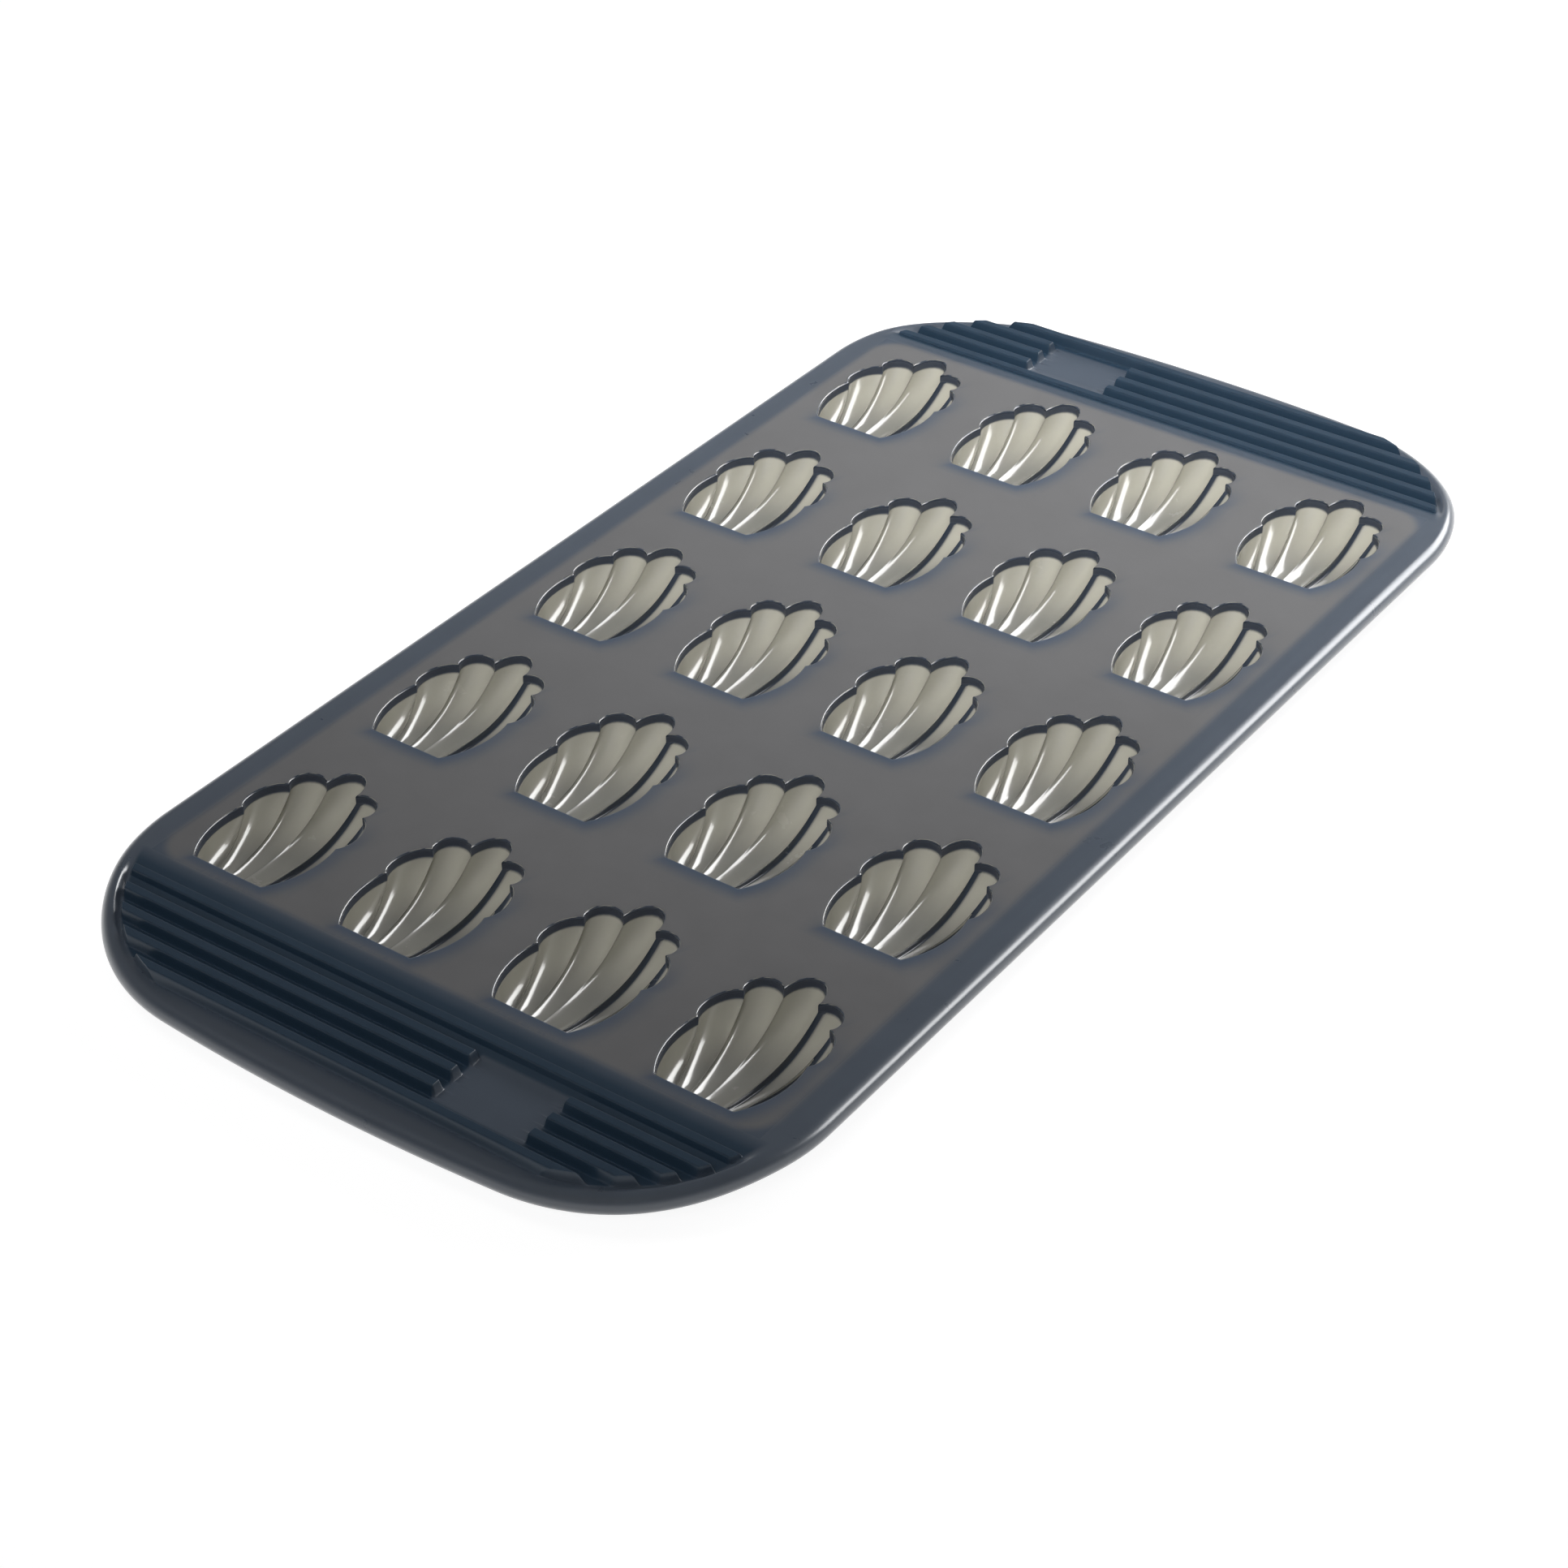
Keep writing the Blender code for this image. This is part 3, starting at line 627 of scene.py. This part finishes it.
grip = {
    "drop": 2.7 * mm,            # how far the grip's surface lies below the web's
    "rampStart": 1.0 * mm,
    "rampLength": 13.0 * mm,     # of the ribbed field
    "rimRampLength": 36.0 * mm,  # of the edge round it
    "ribCount": 5,
    "ribPitch": 6.0 * mm,
    "firstRib": 7.0 * mm,
    "ribFoot": 2.0 * mm,         # half widths
    "ribTop": 0.95 * mm,
    "ribHeight": 2.7 * mm,
    "ribEndInset": 4.4 * mm,
    "ribEndSlope": 1.0 * mm,
    "tintFade": 0.8 * mm,        # over which the dark of the ribs and grooves ends
    "webFade": 2.4 * mm,         # and over which it begins beside the web
    "rampTint": 0.6,             # how dark the ramp before the first rib is
    "plateLow": -45 * mm,        # the bare plate of the far grip; the near grip is turned half a turn
    "plateHigh": -21 * mm,
    "lastRow": 33.4 * mm,        # from the web's edge to the last row of the ribbed field
    "rampRows": 10,
    "flankRows": 11,             # over each flank of a rib
    "flankMargin": 0.1 * mm,     # and this far past its ends
    "topRow": 0.4 * mm,          # two more rows, this far from the middle of a rib's top
    "leastGap": 0.04 * mm,       # between rows
    "endColumns": 7,             # over each sloping end of a rib
    "endMargin": 1.2,            # times the slope, so that they reach past it
    "plateColumns": 7,
    "leftColumns": 14,           # between the outline and the plate
    "rightColumns": 36,
    "bandRows": 6,
    "sharpDegrees": 50,
}


def fall(y, length):
    # how far the surface has dropped at a place y, over a ramp of a length
    return grip["drop"] * smoothStep((y - webHalfLength - grip["rampStart"]) / length)


def fieldHalfWidth(y):
    # half width of the ribbed field: the outline drawn in by the ribs' inset
    radius = edge["cornerRadius"] - grip["ribEndInset"]
    return cornerX + np.sqrt(radius**2 - np.clip(y - cornerY, 0, radius) ** 2)


def outlineEndY(x):
    # far end of the outline above a place x, and its normal there: the corner arc, and the shallow
    # bow between the arcs
    cornerRadius, bowRadius = edge["cornerRadius"], edge["bowRadius"]
    bow = trayHalfLength - bowRadius + np.sqrt(bowRadius**2 - x**2)
    beside = np.clip(np.abs(x) - cornerX, 0, cornerRadius)
    corner = cornerY + np.sqrt(cornerRadius**2 - beside**2)
    onBow = np.abs(x) <= bowRadius * cornerX / (bowRadius - cornerRadius)
    y = np.where(onBow, bow, corner)
    normalX = np.where(onBow, x / bowRadius, np.sign(x) * beside / cornerRadius)
    return y, normalX, np.sqrt(1 - normalX**2)


def gripRows():
    # rows of the ribbed field, close together on the ramp and over each rib's flanks
    start, end = webHalfLength, webHalfLength + grip["lastRow"]
    ramp = start + grip["rampStart"] + np.linspace(0, grip["rampLength"], grip["rampRows"])
    margin = grip["flankMargin"]
    flank = np.linspace(grip["ribTop"] - margin, grip["ribFoot"] + margin, grip["flankRows"])
    top = [-grip["topRow"], grip["topRow"]]
    offsets = np.concatenate([-flank[::-1], top, flank, [grip["ribPitch"] / 2]])
    middles = start + grip["firstRib"] + np.arange(grip["ribCount"]) * grip["ribPitch"]
    rows = np.concatenate([[start], ramp, (middles[:, None] + offsets).ravel(), [end]])
    rows = np.unique(np.round(rows, meshing["decimals"]))
    rows = rows[rows <= end + meshing["sameLine"]]
    keep = np.append(True, np.diff(rows) > grip["leastGap"])
    return rows[keep], middles


def gripColumns():
    # each column's x is fixed + share * half width, so that rib ends and the plate's ends stay lined up
    close = np.linspace(0, grip["ribEndSlope"] * grip["endMargin"], grip["endColumns"])
    margin = close[-1]
    low, high = grip["plateLow"], grip["plateHigh"]
    plate = np.linspace(low, high, grip["plateColumns"])[1:-1]
    middle = np.concatenate([low - close[::-1], plate, high + close])
    left = np.linspace(0, 1, grip["leftColumns"])[1:-1]
    right = np.linspace(0, 1, grip["rightColumns"])[1:-1]
    fixed = [close, (1 - left) * margin + left * (low - margin), middle,
             (1 - right) * (high + margin) - right * margin, -close[::-1]]
    share = [-np.ones_like(close), left - 1, np.zeros_like(middle), right, np.ones_like(close)]
    return np.concatenate(fixed), np.concatenate(share)


def ribbedField():
    # places of the grip's top, how far each has risen into a rib, 0 to 1, and its thinness: five ribs
    # whose ends follow the outline, the middle three broken by the plate
    rows, middles = gripRows()
    fixed, share = gripColumns()
    y = rows[:, None]
    halfWidth = fieldHalfWidth(y)
    x = fixed + share * halfWidth
    flankWidth = grip["ribFoot"] - grip["ribTop"]
    toEnd = smoothStep((halfWidth - np.abs(x)) / grip["ribEndSlope"])
    toPlate = np.maximum(grip["plateLow"] - x, x - grip["plateHigh"]) / grip["ribEndSlope"]
    ribShare, thick = np.zeros_like(x), np.zeros_like(x)
    for number, middle in enumerate(middles):
        length = toEnd * smoothStep(toPlate) if 0 < number < grip["ribCount"] - 1 else toEnd
        fromMiddle = np.abs(y - middle)
        ribShare = ribShare + smoothStep((grip["ribFoot"] - fromMiddle) / flankWidth) * length
        dark = smoothStep((grip["ribPitch"] / 2 + grip["tintFade"] - fromMiddle) / grip["tintFade"])
        thick = np.maximum(thick, dark * length)
    before = smoothStep((middles[0] - y) / grip["ribPitch"]) * toEnd * grip["rampTint"]
    # the tint ends before the field's own border, where the next skin joins on
    inside = smoothStep((rows[-1] - y) / grip["tintFade"]) * smoothStep((y - rows[0]) / grip["webFade"])
    return x, np.broadcast_to(y, x.shape), ribShare, 1 - np.maximum(thick, before) * inside


def aroundField(values):
    # values on the field's outer border: up its right side, across its far end, down its left side
    return np.concatenate([values[:-1, -1], values[-1, ::-1], values[:-1, 0][::-1]])


def rolledEdge(borderX, borderY, sideCount):
    # the full round edge outside the field's border, which has sideCount points on each side: beside
    # the field each goes out along the corner's radius, and beyond its end in proportion to x
    radius = edge["cornerRadius"]
    armX, armY = np.abs(borderX) - cornerX, borderY - cornerY
    arm = np.hypot(armX, armY)
    outX, outY = cornerX + armX / arm * radius, cornerY + armY / arm * radius
    normalX, normalY = armX / arm, armY / arm
    middle = slice(sideCount, len(borderX) - sideCount)
    endX = np.abs(borderX[middle]) * outX[sideCount] / abs(borderX[sideCount])
    outX[middle] = endX
    outY[middle], normalX[middle], normalY[middle] = outlineEndY(endX)
    side = np.where(borderX < 0, -1.0, 1.0)
    outX, normalX = outX * side, normalX * side
    inset, height = roundEdge()
    edgeX = outX - normalX * inset[:, None]
    edgeY = outY - normalY * inset[:, None]
    # the first station lies on the web's line, where the corner arc has already begun
    early = edgeY < webHalfLength
    early[:, [0, -1]] = True
    reach = cornerX + np.sqrt((radius - inset[:, None]) ** 2 - (webHalfLength - cornerY) ** 2)
    edgeX = np.where(early, np.sign(edgeX) * reach, edgeX)
    edgeY = np.where(early, webHalfLength, edgeY)
    return grid(edgeX, edgeY, height[:, None] - fall(edgeY, grip["rimRampLength"]))


def cutFaces(field, under, band, rolled, bandUnder):
    # the cut face against the web: from the section on the right, across, to the one on the left
    faces = [np.stack([field[0], under[0]])]
    for column in (0, -1):
        around = np.concatenate([band[:, column], rolled[1:, column], bandUnder[1:, column]])
        half = len(around) // 2
        faces.append(np.stack([around[:half], around[::-1][:half]]))
    return faces


def makeGrips():
    # the ribbed field, a flat band round it, the rolled edge, and a plain underside
    x, y, ribShare, fieldTint = ribbedField()
    surface = webTop - fall(y, grip["rampLength"])
    field = grid(x, y, np.maximum(surface, webTop - grip["drop"] + ribShare * grip["ribHeight"]))
    under = grid(x, y, surface - edgeHeight)
    borderX, borderY = aroundField(x), aroundField(y)
    border = grid(borderX, borderY, webTop - fall(borderY, grip["rampLength"]))
    rolled = rolledEdge(borderX, borderY, len(x) - 1)
    shares = np.linspace(0, 1, grip["bandRows"])[:, None, None]
    band = border + (rolled[0] - border) * shares
    band[..., 2] = border[:, 2] + (rolled[0, :, 2] - border[:, 2]) * smoothStep(shares[..., 0])
    borderUnder = border - (0, 0, edgeHeight)
    bandUnder = rolled[-1] + (borderUnder - rolled[-1]) * shares
    faces = cutFaces(field, under, band, rolled, bandUnder)
    # material 0 is the grip's own and 1 the rim's
    skins = [(field, fieldTint, 0), (band, 1.0, 1), (rolled, 1.0, 1), (bandUnder, 1.0, 1), (under, 1.0, 0)]
    skins += [(face, 1.0, 0) for face in faces]
    for name, turn in (("grip_far", 1), ("grip_near", -1)):
        patches = [(skin * (turn, turn, 1), False, tint, number) for skin, tint, number in skins]
        makePiece(name + "_skin", patches, [gripSilicone, railSilicone], grip["sharpDegrees"],
                  [name])


makeRails()
makeGrips()
print("rails and grips made")


# Camera, lights and floor

view = {
    "place": (399.4 * mm, -580.9 * mm, 472.3 * mm),        # above the web's top
    "aim": (-0.4718, 0.6614, -0.5831),
    "lens": 79.23,               # millimetres, on a sensor of
    "sensorWidth": 36.0,
    "nearest": 0.01,
    "farthest": 50,
}
softboxes = {
    # watts, spread in degrees, and whether diffuse and glossy rays see it
    "streak": {"place": (0.58, 1.05, 0.60), "aim": (0, 0, 0), "size": (1.45, 0.52), "watts": 21.0,
               "spread": 180, "diffuse": False, "glossy": True},
    "back": {"place": (0.30, 1.10, 0.50), "aim": (0, 0, 0), "size": (1.35, 0.40), "watts": 8.0,
             "spread": 180, "diffuse": True, "glossy": False},
    "top": {"place": (-0.52, -0.22, 0.85), "aim": (0, 0.19, 0), "size": (0.4, 0.4), "watts": 0.40,
            "spread": 70, "diffuse": True, "glossy": False},
    "front": {"place": (0.25, -0.75, 0.75), "aim": (0, 0.22, 0), "size": (0.5, 0.4), "watts": 0.25,
              "spread": 44, "diffuse": True, "glossy": False},
    "far": {"place": (0.15, -0.06, 0.63), "aim": (0, 0.22, 0), "size": (0.4, 0.3), "watts": 0.46,
            "spread": 46, "diffuse": True, "glossy": False},
}
room = {
    "lowGlow": 0.6,              # strength of the room low down, as gloss sees it
    "highGlow": 0.13,            # and high up
    "dimFrom": 0.1,              # upward share of a ray's direction where it starts to dim
    "dimTo": 0.5,
    "fill": 0.13,                # least strength that every ray sees
    "backdrop": 1.0,
    "tableColour": 0.8,          # as light falls on it
    "tableSeen": 0.3,            # as the camera and gloss see it, with the lift added to that
    "tableLift": 0.9,
    "tableReach": 6.0,
    "tableDrop": 0.02 * mm,      # just under the cups' flats, so that the two don't coincide
}


def makeCamera():
    camera = bpy.data.objects.new("camera", bpy.data.cameras.new("camera"))
    camera.data.lens = view["lens"]
    camera.data.sensor_width = view["sensorWidth"]
    camera.data.clip_start = view["nearest"]
    camera.data.clip_end = view["farthest"]
    camera.location = Vector(view["place"]) + Vector((0, 0, webTop))
    camera.rotation_euler = Vector(view["aim"]).to_track_quat("-Z", "Y").to_euler()
    bpy.context.scene.collection.objects.link(camera)
    bpy.context.scene.camera = camera


def makeLights():
    for name, softbox in softboxes.items():
        lamp = bpy.data.lights.new(name, "AREA")
        lamp.shape = "RECTANGLE"
        lamp.size, lamp.size_y = softbox["size"]
        lamp.energy, lamp.spread = softbox["watts"], math.radians(softbox["spread"])
        box = bpy.data.objects.new(name, lamp)
        back = (Vector(softbox["place"]) - Vector(softbox["aim"])).normalized()
        side = Vector((0, 0, 1)).cross(back).normalized()
        turn = Matrix((side, back.cross(side), back)).transposed().to_4x4()
        box.matrix_world = Matrix.Translation(softbox["place"]) @ turn
        box.visible_camera = False
        box.visible_diffuse, box.visible_glossy = softbox["diffuse"], softbox["glossy"]
        bpy.context.scene.collection.objects.link(box)


def eitherRay(tree, first, second):
    # 1 for rays of either of two kinds
    path = addNode(tree, "ShaderNodeLightPath").outputs
    return addNode(tree, "ShaderNodeMath", {0: path[first], 1: path[second]}, operation="MAXIMUM").outputs[0]


def makeWorld():
    # a room that is white low down and dims upward, as gloss sees it; the camera sees plain white
    world = bpy.data.worlds.new("studio")
    bpy.context.scene.world = world
    world.use_nodes = True
    tree = world.node_tree
    tree.nodes.clear()
    ray = addNode(tree, "ShaderNodeTexCoord").outputs["Generated"]
    height = addNode(tree, "ShaderNodeSeparateXYZ", {0: ray}).outputs["Z"]
    glow = addNode(tree, "ShaderNodeMapRange", {
        "Value": height, "From Min": room["dimFrom"], "From Max": room["dimTo"],
        "To Min": room["lowGlow"], "To Max": room["highGlow"]}, interpolation_type="SMOOTHSTEP").outputs[0]
    glossy = addNode(tree, "ShaderNodeLightPath").outputs["Is Glossy Ray"]
    glossOnly = addNode(tree, "ShaderNodeMath", {0: glow, 1: glossy}, operation="MULTIPLY").outputs[0]
    fill = addNode(tree, "ShaderNodeMath", {0: glossOnly, 1: room["fill"]}, operation="MAXIMUM").outputs[0]
    seen = eitherRay(tree, "Is Camera Ray", "Is Transmission Ray")
    strength = addNode(tree, "ShaderNodeMapRange", {
        "Value": seen, "To Min": fill, "To Max": room["backdrop"]}).outputs[0]
    light = addNode(tree, "ShaderNodeBackground", {"Color": (1, 1, 1, 1), "Strength": strength})
    addNode(tree, "ShaderNodeOutputWorld", {"Surface": light.outputs[0]})


def makeFloor():
    # a wide white table that the camera and gloss see lifted to the backdrop's white
    material, tree = newMaterial("whiteTable")
    colour, seenColour = ((room[key],) * 3 + (1,) for key in ("tableColour", "tableSeen"))
    paper = addNode(tree, "ShaderNodeBsdfDiffuse", {"Color": colour}).outputs[0]
    thinPaper = addNode(tree, "ShaderNodeBsdfDiffuse", {"Color": seenColour}).outputs[0]
    lift = addNode(tree, "ShaderNodeEmission", {"Color": (1, 1, 1, 1), "Strength": room["tableLift"]})
    lifted = addNode(tree, "ShaderNodeAddShader", {0: thinPaper, 1: lift.outputs[0]}).outputs[0]
    seen = eitherRay(tree, "Is Camera Ray", "Is Glossy Ray")
    pick = addNode(tree, "ShaderNodeMixShader", {0: seen, 1: paper, 2: lifted})
    addNode(tree, "ShaderNodeOutputMaterial", {"Surface": pick.outputs[0]})
    mesh = bpy.data.meshes.new("floor")
    reach, z = room["tableReach"], -room["tableDrop"]
    corners = [(-reach, -reach, z), (reach, -reach, z), (reach, reach, z), (-reach, reach, z)]
    mesh.from_pydata(corners, [], [(0, 1, 2, 3)])
    mesh.materials.append(material)
    floor = bpy.data.objects.new("floor", mesh)
    bpy.context.scene.collection.objects.link(floor)


makeCamera()
makeLights()
makeWorld()
makeFloor()
bpy.context.scene.view_settings.view_transform = "Standard"
print("stage set")

bpy.context.view_layer.update()
